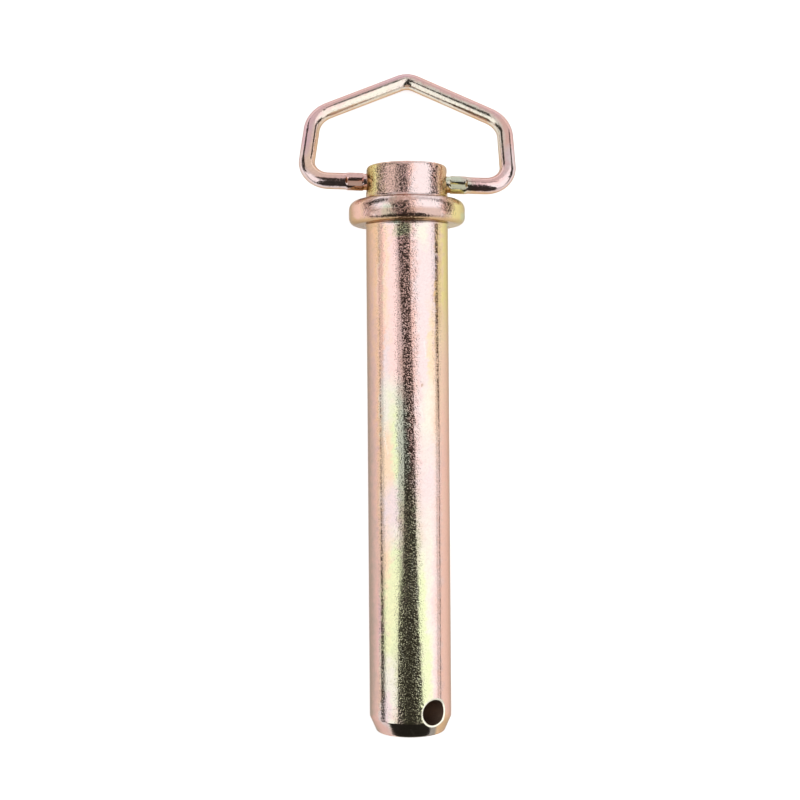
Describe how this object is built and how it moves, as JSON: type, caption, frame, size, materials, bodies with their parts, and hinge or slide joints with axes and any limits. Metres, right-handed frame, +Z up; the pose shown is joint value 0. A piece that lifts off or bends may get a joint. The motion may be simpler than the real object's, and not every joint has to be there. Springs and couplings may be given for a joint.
{
  "type": "hitch pin",
  "caption": "Round steel hitch pin with a collar, a cross hole near its bevelled tip and a bent wire handle that swings in its head.",
  "frame": {"origin": "on the pin's axis, at the collar's underside", "axes": "+Z up from the table that the pin lies on; +Y along the pin towards its head, which the axis climbs towards by 2 degrees; +X to the right"},
  "size_m": [0.0677, 0.2079, 0.036],
  "materials": {
    "plated_forging": "yellow zinc plating over a forged and turned surface",
    "plated_wire": "yellow zinc plating over drawn wire"
  },
  "bodies": {
    "pin": {"pin_body": "plated_forging"},
    "handle": {"swivel_handle": "plated_wire"}
  },
  "joints": [
    {"name": "handle_swivel", "type": "hinge", "parent": "pin", "child": "handle", "pos_m": [0, 0.01309, 0.00045], "axis": [0.9991, -0.0419, -0.0014], "range_deg": [-129.6, 181.4]}
  ]
}
